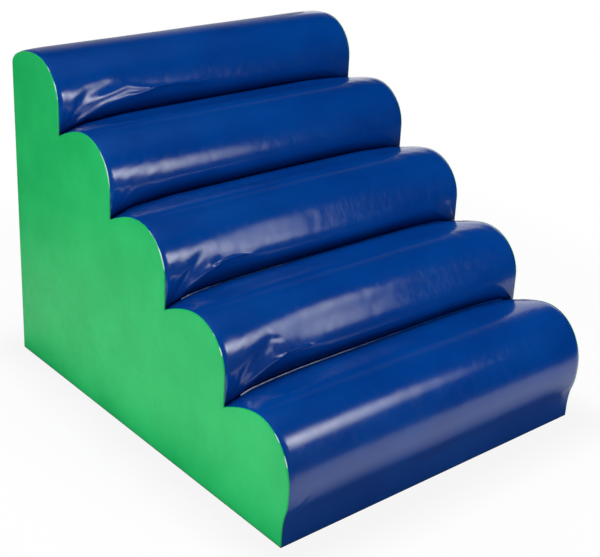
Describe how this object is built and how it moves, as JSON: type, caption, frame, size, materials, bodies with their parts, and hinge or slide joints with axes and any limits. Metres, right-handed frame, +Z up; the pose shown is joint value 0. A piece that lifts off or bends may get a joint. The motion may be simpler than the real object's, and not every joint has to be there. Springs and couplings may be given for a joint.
{
  "type": "soft play foam climber",
  "caption": "Free-standing foam climber: a flight of rounded wave steps under a sewn wipe-clean cover, blue on the steps and green on the sides, closed by a zip across the back.",
  "frame": {"origin": "middle of the bounding box in X and Y, on the floor", "axes": "+Z up, the low front of the steps towards -Y, the green side seen in the picture towards -X"},
  "size_m": [1, 1.2062, 0.9],
  "materials": {
    "blue_vinyl": "gloss",
    "green_vinyl": "satin",
    "base_sheet": "matte",
    "foam": "matte",
    "zip_tape": "matte",
    "zip_plastic": "satin",
    "slider_metal": "satin"
  },
  "bodies": {
    "climber": {"foam_slab_1": "foam", "foam_slab_2": "foam", "foam_slab_3": "foam", "foam_slab_4": "foam", "foam_nosing_1": "foam", "foam_nosing_2": "foam", "foam_nosing_3": "foam", "foam_nosing_4": "foam", "foam_nosing_5": "foam", "step_panel_1": "blue_vinyl", "step_panel_2": "blue_vinyl", "step_panel_3": "blue_vinyl", "step_panel_4": "blue_vinyl", "step_panel_5": "blue_vinyl", "valley_welt_1": "blue_vinyl", "valley_welt_2": "blue_vinyl", "valley_welt_3": "blue_vinyl", "valley_welt_4": "blue_vinyl", "side_panel_left": "green_vinyl", "side_panel_right": "green_vinyl", "base_panel": "base_sheet", "back_panel_lower": "blue_vinyl", "back_panel_upper": "blue_vinyl", "zip_tape_upper": "zip_tape", "zip_tape_lower": "zip_tape", "zip_teeth_upper": "zip_plastic", "zip_teeth_lower": "zip_plastic", "zip_stop_upper": "zip_plastic", "zip_stop_lower": "zip_plastic", "zip_stop_end": "zip_plastic"},
    "slider": {"zip_slider": "slider_metal"},
    "pull": {"zip_pull": "slider_metal"}
  },
  "joints": [
    {"name": "zip_travel", "type": "slide", "parent": "climber", "child": "slider", "axis": [1, 0, 0], "range_m": [0, 0.849], "deforming": ["zip_teeth_upper", "zip_teeth_lower"]},
    {"name": "pull_swing", "type": "hinge", "parent": "slider", "child": "pull", "pos_m": [-0.4244, 0.6003, 0.12], "axis": [0, 0, 1], "range_deg": [0, 175]}
  ]
}
